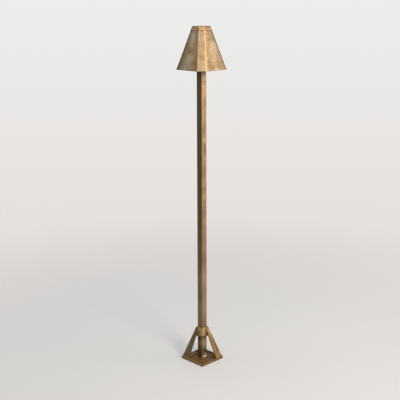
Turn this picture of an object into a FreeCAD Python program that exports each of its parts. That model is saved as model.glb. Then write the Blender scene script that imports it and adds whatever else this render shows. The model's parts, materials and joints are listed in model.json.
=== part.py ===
import FreeCAD, Part
import math
import os
import re

import Sketcher

# A garden path light of aged brass: a square plate with two braces and a collar, a square
# tube stem, and an eight-sided hat over a small plug-in lamp. The origin is the middle of
# the plate's underside, Z points up, and X and Y run square to the faces of the stem.

# Sizes in millimetres
SIZES = {
    # Stem, a square tube
    "stem_side": 19.05,
    "stem_wall": 1.65,
    "stem_corner": 0.6,
    "stem_length": 900.0,
    "stem_screw_height": 11.0,
    # Base plate and its fixing holes
    "plate_side": 88.9,
    "plate_thickness": 4.8,
    "plate_corner": 1.5,
    "plate_edge": 0.5,
    "mount_circle": 86.0,
    "mount_hole": 6.6,
    "mount_sink": 11.0,
    # Boss inside the foot of the stem, and the bush for the supply cable
    "boss_height": 22.0,
    "boss_lead_in": 1.0,
    "cable_bore": 9.0,
    "grommet_bore": 7.0,
    "grommet_body": 11.0,
    "grommet_flange": 15.0,
    "grommet_lip": 1.8,
    "grommet_recess": 0.3,
    # Collar round the stem, and the braces
    "collar_wall": 2.6,
    "collar_height": 23.0,
    "collar_foot": 74.0,
    "collar_corner": 1.0,
    "collar_drop": 7.5,
    "collar_tip": 1.5,
    "set_screw_sink": 0.4,
    "leg_thickness": 4.0,
    "leg_arris": 1.6,
    "leg_inset": 1.8,
    "leg_foot_width": 25.0,
    "leg_head_lap": 5.8,
    "leg_head_edge": 0.6,
    # Head of the stem
    "head_spigot": 18.0,
    "head_screw_depth": 9.0,
    "flange_diameter": 46.0,
    "flange_thickness": 5.0,
    "flange_edge": 0.6,
    # Strap that carries the hat, and its nut
    "bracket_span": 36.0,
    "bracket_height": 61.0,
    "bracket_width": 12.0,
    "bracket_thickness": 2.5,
    "bracket_bend": 1.5,
    "bracket_foot": 10.0,
    "bracket_screw_inset": 6.8,
    "nut_across": 8.0,
    "nut_height": 4.5,
    # Hat
    "shade_bottom_side": 117.0,
    "shade_bottom_corner": 19.4,
    "shade_top_side": 54.6,
    "shade_top_corner": 14.0,
    "shade_height": 106.5,
    "shade_sheet": 1.3,
    "shade_bend": 5.0,
    "hem_height": 8.0,
    "hem_round": 0.9,
    "roof_thickness": 1.5,
    "gasket_thickness": 1.0,
    "gasket_hole": 24.0,
    "gasket_inset": 2.4,
    "cap_height": 9.5,
    "cap_inset": 0.1,
    "cap_wall": 3.0,
    "cap_roof": 3.5,
    "cap_edge": 3.0,
    "cap_bend": 9.0,
    "cap_boss": 13.0,
    # Screws
    "screw_thread": 4.0,
    "screw_head": 7.8,
    "screw_head_height": 2.2,
    "screw_head_rim": 0.5,
    "screw_key": 2.5,
    "small_thread": 3.0,
    "small_head": 5.6,
    "small_head_height": 1.8,
    "small_key": 2.0,
    "small_grip": 3.8,
    "cap_thread": 5.0,
    "cap_screw_head": 10.0,
    "cap_screw_rim": 0.5,
    "cap_screw_sink": 0.4,
    "cap_screw_tip": 1.0,
    "cap_screw_key": 3.0,
    "key_depth": 1.3,
    # Lampholder, contacts and leads
    "holder_width": 9.0,
    "holder_length": 24.0,
    "holder_block": 12.0,
    "holder_height": 12.0,
    "holder_ear": 4.0,
    "holder_corner": 1.5,
    "holder_screw_reach": 8.8,
    "holder_crown": 3.0,
    "contact_diameter": 2.6,
    "pin_pitch": 4.0,
    "pin_diameter": 0.7,
    "pin_length": 7.5,
    "pin_root": 2.5,
    "pin_entry": 1.5,
    "lead_diameter": 2.4,
    "splice_diameter": 4.6,
    "splice_length": 24.0,
    "splice_grip": 9.0,
    "splice_lift": 8.0,
    "splice_stagger": 32.0,
    # Lamp
    "lamp_diameter": 10.0,
    "lamp_base_height": 6.0,
    "lamp_glass_height": 20.0,
    "lamp_glass_wall": 0.7,
    "lamp_dome": 3.5,
    "board_width": 5.4,
    "board_thickness": 1.0,
    "board_height": 15.0,
    "chip_side": 2.8,
    "chip_thickness": 0.8,
    "chip_pitch": 4.4,
    # Clearances, each on one side
    "slide_gap": 0.1,
    "thread_gap": 0.05,
    "clear_gap": 0.3,
    "seat_gap": 0.2,
    "contact_gap": 0.1,
    "root_gap": 0.03,
    "pin_tip_gap": 1.0,
}

# Places and sizes that follow from the values above
STEM_INSIDE = "(stem_side - 2 * stem_wall)"
PLUG_SIDE = f"({STEM_INSIDE} - 2 * slide_gap)"
COLLAR_INSIDE = "(stem_side + 2 * slide_gap)"
COLLAR_SIDE = f"({COLLAR_INSIDE} + 2 * collar_wall)"
COLLAR_LEVEL = "(plate_thickness + collar_foot)"
BRACE_HEIGHT = "(collar_foot + collar_height)"
STEM_TOP = "(plate_thickness + stem_length)"
FLANGE_TOP = f"({STEM_TOP} + flange_thickness)"
BRACKET_TOP = f"({FLANGE_TOP} + bracket_height)"
ROOF_TOP = f"({BRACKET_TOP} + roof_thickness)"
SHADE_LEVEL = f"({ROOF_TOP} - shade_height)"
CAP_LEVEL = f"({ROOF_TOP} + gasket_thickness)"
NUT_LEVEL = f"({BRACKET_TOP} - bracket_thickness - nut_height)"
LAMP_LEVEL = f"({FLANGE_TOP} + holder_height + seat_gap)"
SPLICE_LEVEL = "(plate_thickness + boss_height + splice_lift)"
BRACKET_SCREW_PLACE = "(bracket_span / 2 - bracket_screw_inset)"
SIDE_SLOPE = "((shade_bottom_side - shade_top_side) / shade_height)"
CORNER_SLOPE = "((shade_bottom_corner - shade_top_corner) / shade_height)"
THREAD_HOLE = "(screw_thread + 2 * thread_gap)"
CLEAR_HOLE = "(screw_thread + 2 * clear_gap)"
SMALL_THREAD_HOLE = "(small_thread + 2 * thread_gap)"
SMALL_CLEAR_HOLE = "(small_thread + 2 * clear_gap)"
CAP_CLEAR_HOLE = "(cap_thread + 2 * clear_gap)"

# An eight-sided outline that is offset by one unit loses this much of its corner cut
CORNER_LOSS = 2 - math.sqrt(2)
# Flat bands that make up the rounded upper edge of the cap
EDGE_BANDS = 5

doc = FreeCAD.newDocument("PathLight")
sheet = doc.addObject("Spreadsheet::Sheet", "Sizes")
nodes = []


def fill_sheet():
    """Write every driving size in the sheet under its own alias."""
    for row, (name, size) in enumerate(SIZES.items(), 1):
        sheet.set(f"A{row}", name)
        sheet.set(f"B{row}", str(size))
        sheet.setAlias(f"B{row}", name)
    doc.recompute()


def formula(text):
    """Turn a formula of named sizes into an expression that reads the sheet."""
    def look_up(word):
        return f"Sizes.{word[0]}" if word[0] in SIZES else word[0]
    return re.sub(r"[a-z_]+", look_up, str(text))


def value(text):
    """Give the present value of a formula."""
    return float(sheet.evalExpression(formula(text)))


def new_body(label, x="0", y="0", level="0", turn=0):
    """Add a body for one node, placed by formulas and turned about Z."""
    body = doc.addObject("PartDesign::Body", label)
    body.Label = label
    body.Placement.Rotation = FreeCAD.Rotation(FreeCAD.Vector(0, 0, 1), turn)
    for axis, text in (("x", x), ("y", y), ("z", level)):
        body.setExpression(f"Placement.Base.{axis}", formula(text))
    nodes.append(body)
    return body


def origin_part(body, role):
    """Find one of the body's own planes or axes."""
    return next(part for part in body.Origin.OriginFeatures if part.Role == role)


def new_sketch(body, plane="XY", offset="0", turn=0):
    """Add a sketch on one of the body's planes, moved along its normal or turned about its Y."""
    sketch = body.newObject("Sketcher::SketchObject", f"{body.Label}_sketch")
    sketch.AttachmentSupport = [(origin_part(body, f"{plane}_Plane"), "")]
    sketch.MapMode = "FlatFace"
    sketch.AttachmentOffset.Rotation = FreeCAD.Rotation(FreeCAD.Vector(0, 1, 0), turn)
    sketch.setExpression("AttachmentOffset.Base.z", formula(offset))
    return sketch


def pin_point(sketch, geometry, end, x, y):
    """Hold one end of a line or arc at a place given by two formulas."""
    for kind, text in (("DistanceX", x), ("DistanceY", y)):
        number = sketch.addConstraint(Sketcher.Constraint(kind, -1, 1, geometry, end, value(text)))
        sketch.setExpression(f"Constraints[{number}]", formula(text))


def round_corner(before, corner, after, x, y, radius):
    """Give the two ends of the arc that rounds a corner, as formulas."""
    arriving = (corner - before).normalize()
    leaving = (after - corner).normalize()
    reach = math.tan(arriving.getAngle(leaving) / 2)
    start = [f"{place} - ({round(step * reach, 9)}) * ({radius})"
             for place, step in ((x, arriving.x), (y, arriving.y))]
    end = [f"{place} + ({round(step * reach, 9)}) * ({radius})"
           for place, step in ((x, leaving.x), (y, leaving.y))]
    return start, end


def middle_of_arc(start, end, corner, radius):
    """Give the point halfway along the arc that rounds a corner."""
    middle = (start + end) * 0.5
    half_chord = (end - start).Length / 2
    rise = radius - math.sqrt(radius ** 2 - half_chord ** 2)
    return middle + (corner - middle).normalize() * rise


def outline_places(corners):
    """Give the places an outline runs through, and the arcs that start at some of them."""
    spots = [FreeCAD.Vector(value(x), value(y), 0) for x, y, *_ in corners]
    places = []
    arcs = {}
    for index, (x, y, *radius) in enumerate(corners):
        if radius:
            after = spots[(index + 1) % len(spots)]
            arcs[len(places)] = (radius[0], spots[index])
            places.extend(round_corner(spots[index - 1], spots[index], after, x, y, radius[0]))
        else:
            places.append((x, y))
    return places, arcs


def outline(sketch, corners):
    """Draw a closed outline. A corner is x, y and, where it is rounded, its radius."""
    places, arcs = outline_places(corners)
    points = [FreeCAD.Vector(value(x), value(y), 0) for x, y in places]
    first = sketch.GeometryCount
    for index, start in enumerate(points):
        end = points[(index + 1) % len(points)]
        piece = Part.LineSegment(start, end)
        if index in arcs:
            radius, corner = arcs[index]
            piece = Part.Arc(start, middle_of_arc(start, end, corner, value(radius)), end)
        sketch.addGeometry(piece, False)
    order = join_ends(sketch, first, points)
    for index, (x, y) in enumerate(places):
        pin_point(sketch, first + index, order[index][0], x, y)
    for index, (radius, _) in arcs.items():
        number = sketch.addConstraint(Sketcher.Constraint("Radius", first + index, value(radius)))
        sketch.setExpression(f"Constraints[{number}]", formula(radius))
    return sketch


def join_ends(sketch, first, points):
    """Join each piece of an outline to the next, and say which end of each comes first."""
    count = len(points)
    order = []
    for index in range(count):
        start = sketch.getPoint(first + index, 1)
        order.append((1, 2) if start.isEqual(points[index], 1e-6) else (2, 1))
    for index in range(count):
        following = (index + 1) % count
        sketch.addConstraint(Sketcher.Constraint(
            "Coincident", first + index, order[index][1], first + following, order[following][0]))
    return order


def circle(sketch, x, y, diameter):
    """Draw a circle at a place given by formulas."""
    middle = FreeCAD.Vector(value(x), value(y), 0)
    ring = Part.Circle(middle, FreeCAD.Vector(0, 0, 1), value(diameter) / 2)
    number = sketch.addGeometry(ring, False)
    pin_point(sketch, number, 3, x, y)
    size = sketch.addConstraint(Sketcher.Constraint("Diameter", number, value(diameter)))
    sketch.setExpression(f"Constraints[{size}]", formula(diameter))
    return sketch


def box_corners(width, depth, radius=None):
    """Corners of a rectangle about the middle, rounded where a radius is given."""
    across = f"({width}) / 2"
    along = f"({depth}) / 2"
    corners = [(f"-{across}", f"-{along}"), (across, f"-{along}"), (across, along), (f"-{across}", along)]
    return [corner + (radius,) for corner in corners] if radius else corners


def hexagon_corners(across):
    """Corners of a hexagon that measures this much across its flats."""
    reach = f"({across}) / sqrt(3)"
    corners = []
    for step in range(6):
        angle = math.radians(60 * step)
        x_share = round(math.cos(angle), 9)
        y_share = round(math.sin(angle), 9)
        corners.append((f"{reach} * ({x_share})", f"{reach} * ({y_share})"))
    return corners


def octagon_corners(side, corner, radius, inset="0"):
    """Corners of a square with cut and rounded corners, drawn in by an inset."""
    half = f"(({side}) / 2 - ({inset}))"
    flat = f"({half} - (({corner}) - {round(CORNER_LOSS, 9)} * ({inset})))"
    bend = f"(({radius}) - ({inset}))"
    signs = [(1, -1, flat, half), (1, -1, half, flat), (1, 1, half, flat), (1, 1, flat, half),
             (-1, 1, flat, half), (-1, 1, half, flat), (-1, -1, half, flat), (-1, -1, flat, half)]
    return [(f"({across} * {x})", f"({up} * {y})", bend) for across, up, x, y in signs]


def pad(body, sketch, length, down=False, both_ways=False):
    """Grow a sketch into a solid along its normal."""
    feature = body.newObject("PartDesign::Pad", f"{body.Label}_pad")
    feature.Profile = sketch
    feature.SideType = "Symmetric" if both_ways else "One side"
    feature.Reversed = down
    feature.setExpression("Length", formula(length))
    doc.recompute()
    return feature


def pocket(body, sketch, depth=None, along_normal=False):
    """Cut a sketch out of a body, to a depth against its normal, or right through."""
    before = body.Shape.Volume
    feature = body.newObject("PartDesign::Pocket", f"{body.Label}_pocket")
    feature.Profile = sketch
    if depth is None:
        feature.Type = "ThroughAll"
        feature.SideType = "Symmetric"
    else:
        feature.Reversed = along_normal
        feature.setExpression("Length", formula(depth))
    doc.recompute()
    if not body.Shape.Volume < before - 1e-6:
        raise ValueError(f"a cut in {body.Label} removed nothing")
    return feature


def turn_solid(body, sketch, axis):
    """Turn a sketch about one of its own axes into a round solid."""
    feature = body.newObject("PartDesign::Revolution", f"{body.Label}_turned")
    feature.Profile = sketch
    feature.ReferenceAxis = (sketch, [axis])
    feature.Angle = 360
    doc.recompute()
    return feature


def loft(body, sections, kind="AdditiveLoft"):
    """Join sections with straight lines, as a solid or as a cut."""
    feature = body.newObject(f"PartDesign::{kind}", f"{body.Label}_loft")
    feature.Profile = sections[0]
    feature.Sections = sections[1:]
    feature.Ruled = True
    doc.recompute()
    return feature


def cone_cut(body, x, y, level, low_radius, high_radius, height):
    """Cut a cone that opens upward, such as a countersink."""
    feature = body.newObject("PartDesign::SubtractiveCone", f"{body.Label}_sink")
    feature.AttachmentSupport = [(origin_part(body, "XY_Plane"), "")]
    feature.MapMode = "FlatFace"
    for axis, text in (("x", x), ("y", y), ("z", level)):
        feature.setExpression(f"AttachmentOffset.Base.{axis}", formula(text))
    for name, text in (("Radius1", low_radius), ("Radius2", high_radius), ("Height", height)):
        feature.setExpression(name, formula(text))
    doc.recompute()
    return feature


def repeat_round(body, features, count=2, extent=360, backward=False):
    """Repeat features round the body's Z axis."""
    pattern = body.newObject("PartDesign::PolarPattern", f"{body.Label}_round")
    pattern.Originals = features
    pattern.Axis = (origin_part(body, "Z_Axis"), [""])
    pattern.Angle = extent
    pattern.Occurrences = count
    pattern.Reversed = backward
    body.Tip = pattern
    doc.recompute()
    return pattern


def repeat_along(body, features, length):
    """Repeat features once more, this far back along the body's X axis."""
    pattern = body.newObject("PartDesign::LinearPattern", f"{body.Label}_along")
    pattern.Originals = features
    pattern.Direction = (origin_part(body, "X_Axis"), [""])
    pattern.Reversed = True
    pattern.Occurrences = 2
    pattern.setExpression("Length", formula(length))
    body.Tip = pattern
    doc.recompute()
    return pattern


def upright_edges(feature):
    """Names of the edges that run up and down."""
    names = []
    for number, edge in enumerate(feature.Shape.Edges, 1):
        if abs(edge.Vertexes[0].Z - edge.Vertexes[-1].Z) > 1e-6:
            names.append(f"Edge{number}")
    return names


def level_edges(feature, level):
    """Names of the edges that lie flat at one height in the body's own frame."""
    names = []
    for number, edge in enumerate(feature.Shape.Edges, 1):
        box = edge.BoundBox
        if abs(box.ZMin - level) < 1e-6 and abs(box.ZMax - level) < 1e-6:
            names.append(f"Edge{number}")
    return names


def ease_edges(body, kind, feature, names, size):
    """Round or bevel the named edges of a feature."""
    eased = body.newObject(f"PartDesign::{kind}", f"{body.Label}_eased")
    eased.Base = (feature, names)
    eased.setExpression("Radius" if kind == "Fillet" else "Size", formula(size))
    doc.recompute()
    return eased


def square_block(body, side, height, corner):
    """Pad a square with rounded upright corners."""
    block = pad(body, outline(new_sketch(body), box_corners(side, side)), height)
    return ease_edges(body, "Fillet", block, upright_edges(block), corner)


# Stand


def make_base_plate():
    """Square plate with a stepped middle hole and two countersunk fixing holes."""
    body = new_body("base_plate")
    plate = square_block(body, "plate_side", "plate_thickness", "plate_corner")
    ease_edges(body, "Chamfer", plate, level_edges(plate, value("plate_thickness")), "plate_edge")
    pocket(body, circle(new_sketch(body), "0", "0", "grommet_body + 2 * thread_gap"))
    step = circle(new_sketch(body), "0", "0", "grommet_flange + 2 * thread_gap")
    pocket(body, step, "grommet_recess + grommet_lip", along_normal=True)
    across = "mount_circle / 2 * sqrt(0.5)"
    hole = pocket(body, circle(new_sketch(body), across, f"-{across}", "mount_hole"))
    depth = "(mount_sink - mount_hole) / 2"
    sink = cone_cut(body, across, f"-{across}", f"plate_thickness - {depth}",
                    "mount_hole / 2", "mount_sink / 2", depth)
    repeat_round(body, [hole, sink])


def make_foot_boss():
    """Square block that the stem's foot slips over, bored for the cable."""
    body = new_body("foot_boss", level="plate_thickness")
    block = pad(body, outline(new_sketch(body), box_corners(PLUG_SIDE, PLUG_SIDE)), "boss_height")
    ease_edges(body, "Chamfer", block, level_edges(block, value("boss_height")), "boss_lead_in")
    pocket(body, circle(new_sketch(body), "0", "0", "cable_bore"))
    pocket(body, circle(new_sketch(body, "YZ"), "0", "stem_screw_height", THREAD_HOLE))


def make_cable_grommet():
    """Flanged rubber bush in the plate's middle hole."""
    body = new_body("cable_grommet")
    lip = "(grommet_recess + grommet_lip)"
    profile = outline(new_sketch(body, "XZ"), [
        ("grommet_bore / 2", "grommet_recess"),
        ("grommet_flange / 2", "grommet_recess"),
        ("grommet_flange / 2", lip),
        ("grommet_body / 2", lip),
        ("grommet_body / 2", "plate_thickness"),
        ("grommet_bore / 2", "plate_thickness"),
    ])
    turn_solid(body, profile, "V_Axis")


def make_base_collar():
    """Square sleeve round the stem, tapped for a set screw in each rear face."""
    body = new_body("base_collar", level=f"{COLLAR_LEVEL} - collar_drop")
    square_block(body, COLLAR_SIDE, "collar_height + collar_drop", "collar_corner")
    pocket(body, outline(new_sketch(body), box_corners(COLLAR_INSIDE, COLLAR_INSIDE)))
    screw_level = "collar_drop + collar_height / 2"
    for plane in ("YZ", "XZ"):
        pocket(body, circle(new_sketch(body, plane), "0", screw_level, THREAD_HOLE), COLLAR_SIDE)
    cut_collar_edge(body)


def cut_collar_edge(body):
    """Let the sleeve's lower edge fall toward the two corners that the braces meet."""
    slopes = new_sketch(body, "XZ", turn=-45)
    for side in (1, -1):
        tip = f"{side} * collar_tip / 2"
        reach = f"{side} * {COLLAR_SIDE} / sqrt(2)"
        outline(slopes, [
            (tip, "0"),
            (reach, "collar_drop"),
            (reach, "-collar_drop"),
            (tip, "-collar_drop"),
        ])
    pocket(body, slopes)


def make_collar_screws():
    """Two set screws that bear on the stem's rear faces."""
    body = new_body("collar_screws", level=f"{COLLAR_LEVEL} + collar_height / 2")
    outer = f"({COLLAR_SIDE} / 2 - set_screw_sink)"
    thread = circle(new_sketch(body, "YZ", f"-{outer}"), "0", "0", "screw_thread")
    screw = pad(body, thread, f"{outer} - stem_side / 2")
    key = outline(new_sketch(body, "YZ", f"-{outer}"), hexagon_corners("small_key"))
    socket = pocket(body, key, "key_depth", along_normal=True)
    repeat_round(body, [screw, socket], extent=90, backward=True)


def leg_corners(reach, width):
    """Level section of a brace: two flanges that meet at a rounded arris."""
    inner = f"({reach} - leg_thickness)"
    end = f"({reach} - {width})"
    return [
        (reach, end),
        (reach, reach, "leg_arris"),
        (end, reach),
        (end, inner),
        (inner, inner),
        (inner, end),
    ]


def make_leg(label, turn):
    """Tapered brace from a corner of the plate to a corner of the collar."""
    body = new_body(label, level="plate_thickness", turn=turn)
    foot = outline(new_sketch(body), leg_corners("(plate_side / 2 - leg_inset)", "leg_foot_width"))
    head = outline(new_sketch(body, offset=BRACE_HEIGHT),
                   leg_corners(f"({COLLAR_SIDE} / 2 + leg_head_edge)", "(leg_thickness + leg_head_lap)"))
    loft(body, [foot, head])
    pocket(body, outline(new_sketch(body), box_corners(COLLAR_SIDE, COLLAR_SIDE)))


def make_stem():
    """Square tube, drilled near its foot and near its top for screws."""
    body = new_body("stem", level="plate_thickness")
    square_block(body, "stem_side", "stem_length", "stem_corner")
    pocket(body, outline(new_sketch(body), box_corners(STEM_INSIDE, STEM_INSIDE)))
    pocket(body, circle(new_sketch(body, "YZ"), "0", "stem_screw_height", CLEAR_HOLE))
    pocket(body, circle(new_sketch(body, "XZ"), "0", "stem_length - head_screw_depth", CLEAR_HOLE))


def make_cross_screws(label, level, turn):
    """Two round-headed screws through opposite faces of the stem."""
    body = new_body(label, level=level, turn=turn)
    face = "(stem_side / 2)"
    top = f"({face} + screw_head_height)"
    tip = "(cable_bore / 2 + clear_gap)"
    profile = outline(new_sketch(body, "XZ"), [
        (tip, "0"),
        (top, "0"),
        (top, "screw_head / 2", "screw_head_height - screw_head_rim"),
        (face, "screw_head / 2"),
        (face, "screw_thread / 2"),
        (tip, "screw_thread / 2"),
    ])
    screw = turn_solid(body, profile, "H_Axis")
    key = outline(new_sketch(body, "YZ", top), hexagon_corners("screw_key"))
    socket = pocket(body, key, "key_depth")
    repeat_round(body, [screw, socket])


# Head


def make_stem_head():
    """Flanged plug in the top of the stem, bored for the leads and tapped for screws."""
    body = new_body("stem_head", level=STEM_TOP)
    disc = pad(body, circle(new_sketch(body), "0", "0", "flange_diameter"), "flange_thickness")
    ease_edges(body, "Chamfer", disc, level_edges(disc, value("flange_thickness")), "flange_edge")
    pad(body, outline(new_sketch(body), box_corners(PLUG_SIDE, PLUG_SIDE)), "head_spigot", down=True)
    pocket(body, circle(new_sketch(body), "0", "0", "cable_bore"))
    pocket(body, circle(new_sketch(body, "XZ"), "0", "-head_screw_depth", THREAD_HOLE))
    for x, y in ((BRACKET_SCREW_PLACE, "0"), ("0", "holder_screw_reach")):
        tapped = circle(new_sketch(body, offset="flange_thickness"), x, y, SMALL_THREAD_HOLE)
        circle(tapped, f"-{x}", f"-{y}", SMALL_THREAD_HOLE)
        pocket(body, tapped, "small_grip + clear_gap")


def make_shade_bracket():
    """Strap bent into a U over the lamp, with feet turned inward."""
    body = new_body("shade_bracket", level=FLANGE_TOP)
    outer = "(bracket_span / 2)"
    inner = "(bracket_span / 2 - bracket_thickness)"
    toe = "(bracket_span / 2 - bracket_foot)"
    under = "(bracket_height - bracket_thickness)"
    wide = "(bracket_bend + bracket_thickness)"
    profile = outline(new_sketch(body, "XZ"), [
        (toe, "0"),
        (outer, "0", wide),
        (outer, "bracket_height", wide),
        (f"-{outer}", "bracket_height", wide),
        (f"-{outer}", "0", wide),
        (f"-{toe}", "0"),
        (f"-{toe}", "bracket_thickness"),
        (f"-{inner}", "bracket_thickness", "bracket_bend"),
        (f"-{inner}", under, "bracket_bend"),
        (inner, under, "bracket_bend"),
        (inner, "bracket_thickness", "bracket_bend"),
        (toe, "bracket_thickness"),
    ])
    pad(body, profile, "bracket_width", both_ways=True)
    feet = circle(new_sketch(body), BRACKET_SCREW_PLACE, "0", SMALL_CLEAR_HOLE)
    circle(feet, f"-{BRACKET_SCREW_PLACE}", "0", SMALL_CLEAR_HOLE)
    pocket(body, feet, "bracket_thickness", along_normal=True)
    top = circle(new_sketch(body, offset="bracket_height"), "0", "0", CAP_CLEAR_HOLE)
    pocket(body, top, "bracket_thickness")


def make_upright_screws(label, reach, seat, turn):
    """Two small round-headed screws that stand in the head's flange."""
    across = reach if turn == 0 else "0"
    along = "0" if turn == 0 else reach
    body = new_body(label, across, along, f"{FLANGE_TOP} + {seat}", turn)
    foot = f"-({seat} + small_grip)"
    profile = outline(new_sketch(body, "XZ"), [
        ("0", foot),
        ("small_thread / 2", foot),
        ("small_thread / 2", "0"),
        ("small_head / 2", "0"),
        ("small_head / 2", "small_head_height", "small_head_height - screw_head_rim"),
        ("0", "small_head_height"),
    ])
    screw = turn_solid(body, profile, "V_Axis")
    key = outline(new_sketch(body, offset="small_head_height"), hexagon_corners("small_key"))
    socket = pocket(body, key, "key_depth")
    repeat_along(body, [screw, socket], f"2 * {reach}")


def make_bracket_nut():
    """Hexagon nut brazed under the strap."""
    body = new_body("bracket_nut", level=NUT_LEVEL)
    pad(body, outline(new_sketch(body), hexagon_corners("nut_across")), "nut_height")
    pocket(body, circle(new_sketch(body), "0", "0", "cap_thread + 2 * thread_gap"))


# Lampholder, leads and lamp


def make_lampholder():
    """Ceramic block with two ears, two pin holes and a chamber under each."""
    body = new_body("lampholder", level=FLANGE_TOP)
    ears = box_corners("holder_width", "holder_length", "holder_corner")
    pad(body, outline(new_sketch(body), ears), "holder_ear")
    block = box_corners("holder_width", "holder_block", "holder_corner")
    pad(body, outline(new_sketch(body), block), "holder_height")
    screw_holes = circle(new_sketch(body), "0", "holder_screw_reach", SMALL_CLEAR_HOLE)
    circle(screw_holes, "0", "-holder_screw_reach", SMALL_CLEAR_HOLE)
    pocket(body, screw_holes, "holder_ear", along_normal=True)
    entries = circle(new_sketch(body), "0", "pin_pitch / 2", "pin_entry")
    circle(entries, "0", "-pin_pitch / 2", "pin_entry")
    pocket(body, entries)
    chamber = "contact_diameter + 2 * thread_gap"
    chambers = circle(new_sketch(body), "0", "pin_pitch / 2", chamber)
    circle(chambers, "0", "-pin_pitch / 2", chamber)
    pocket(body, chambers, "holder_height - holder_crown", along_normal=True)


def make_lamp_contacts():
    """Two sleeves in the holder that grip the lamp's pins."""
    body = new_body("lamp_contacts", level=FLANGE_TOP)
    sleeve = pad(body, circle(new_sketch(body), "0", "pin_pitch / 2", "contact_diameter"),
                 "holder_height - holder_crown - contact_gap")
    top = new_sketch(body, offset="holder_height - holder_crown - contact_gap")
    bore = pocket(body, circle(top, "0", "pin_pitch / 2", "pin_diameter + 2 * contact_gap"),
                  "pin_length - holder_crown + pin_tip_gap")
    repeat_round(body, [sleeve, bore])


def make_lead(label, side, lift):
    """Insulated lead that hangs straight down the stem from its contact to its splice."""
    foot = f"({SPLICE_LEVEL} + {lift} + splice_length - splice_grip)"
    body = new_body(label, level=foot)
    section = circle(new_sketch(body), "0", f"{side} * pin_pitch / 2", "lead_diameter")
    pad(body, section, f"{FLANGE_TOP} - {foot}")


def make_lead_splices():
    """Two crimp splices, one above the other, with a socket at each end."""
    body = new_body("lead_splices", level=SPLICE_LEVEL)
    bore = "lead_diameter + 2 * thread_gap"
    for side, lift in ((1, "0"), (-1, "splice_stagger")):
        place = f"{side} * pin_pitch / 2"
        pad(body, circle(new_sketch(body, offset=lift), "0", place, "splice_diameter"), "splice_length")
        low_socket = circle(new_sketch(body, offset=lift), "0", place, bore)
        pocket(body, low_socket, "splice_grip", along_normal=True)
        high_socket = circle(new_sketch(body, offset=f"{lift} + splice_length"), "0", place, bore)
        pocket(body, high_socket, "splice_grip")


def make_lamp_base():
    """Round foot of the lamp, drilled for its pins."""
    body = new_body("lamp_base", level=LAMP_LEVEL)
    pad(body, circle(new_sketch(body), "0", "0", "lamp_diameter"), "lamp_base_height")
    roots = circle(new_sketch(body), "0", "pin_pitch / 2", "pin_diameter + 2 * root_gap")
    circle(roots, "0", "-pin_pitch / 2", "pin_diameter + 2 * root_gap")
    pocket(body, roots, "pin_root", along_normal=True)


def make_lamp_pins():
    """Two plug pins of the lamp."""
    body = new_body("lamp_pins", level=LAMP_LEVEL)
    pin = pad(body, circle(new_sketch(body, offset="-pin_length"), "0", "pin_pitch / 2", "pin_diameter"),
              "pin_length + pin_root")
    repeat_round(body, [pin])


def make_lamp_envelope():
    """Clear domed cover of the lamp."""
    body = new_body("lamp_envelope", level=f"{LAMP_LEVEL} + lamp_base_height")
    outer = "(lamp_diameter / 2)"
    inner = "(lamp_diameter / 2 - lamp_glass_wall)"
    under = "(lamp_glass_height - lamp_glass_wall)"
    profile = outline(new_sketch(body, "XZ"), [
        (inner, "0"),
        (outer, "0"),
        (outer, "lamp_glass_height", "lamp_dome"),
        ("0", "lamp_glass_height"),
        ("0", under),
        (inner, under, "lamp_dome - lamp_glass_wall"),
    ])
    turn_solid(body, profile, "V_Axis")


def make_led_board():
    """Upright circuit board inside the lamp."""
    body = new_body("led_board", level=f"{LAMP_LEVEL} + lamp_base_height")
    pad(body, outline(new_sketch(body), box_corners("board_thickness", "board_width")), "board_height")


def make_led_chips():
    """Three light chips on each face of the board."""
    body = new_body("led_chips", level=f"{LAMP_LEVEL} + lamp_base_height")
    faces = new_sketch(body, "YZ", "board_thickness / 2")
    half = "(chip_side / 2)"
    for step in range(3):
        middle = f"(board_height / 2 + {step - 1} * chip_pitch)"
        outline(faces, [(f"-{half}", f"{middle} - {half}"), (half, f"{middle} - {half}"),
                        (half, f"{middle} + {half}"), (f"-{half}", f"{middle} + {half}")])
    chips = pad(body, faces, "chip_thickness")
    repeat_round(body, [chips])


# Hat


def shade_section(body, level, inset):
    """Level section of the hat at a height above its lower edge."""
    side = f"(shade_bottom_side - {SIDE_SLOPE} * ({level}))"
    corner = f"(shade_bottom_corner - {CORNER_SLOPE} * ({level}))"
    return outline(new_sketch(body, offset=level), octagon_corners(side, corner, "shade_bend", inset))


def make_shade():
    """Tapered hat of folded sheet, with its lower edge turned in as a hem."""
    body = new_body("shade", level=SHADE_LEVEL)
    loft(body, [shade_section(body, "0", "hem_round"), shade_section(body, "hem_round", "0"),
                shade_section(body, "shade_height", "0")])
    for start, inset in (("0", "2 * shade_sheet"), ("hem_height", "shade_sheet")):
        hollow = [shade_section(body, start, inset), shade_section(body, "shade_height", inset)]
        loft(body, hollow, "SubtractiveLoft")


def make_shade_roof():
    """Plate soldered in the top of the hat."""
    body = new_body("shade_roof", level=BRACKET_TOP)
    inset = "(shade_sheet + thread_gap)"
    corners = octagon_corners("shade_top_side", "shade_top_corner", "shade_bend", inset)
    pad(body, outline(new_sketch(body), corners), "roof_thickness")
    pocket(body, circle(new_sketch(body), "0", "0", CAP_CLEAR_HOLE))


def make_cap_gasket():
    """Flat seal between the hat and its cap."""
    body = new_body("cap_gasket", level=ROOF_TOP)
    corners = octagon_corners("shade_top_side", "shade_top_corner", "shade_bend", "gasket_inset")
    pad(body, outline(new_sketch(body), corners), "gasket_thickness")
    pocket(body, circle(new_sketch(body), "0", "0", "gasket_hole"))


def cap_section(body, level, inset):
    """Level section of the cap, which carries on the slope of the hat."""
    side = f"(shade_top_side - {SIDE_SLOPE} * ({level}))"
    corner = f"(shade_top_corner - {CORNER_SLOPE} * ({level}))"
    return outline(new_sketch(body, offset=level), octagon_corners(side, corner, "cap_bend", inset))


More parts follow.
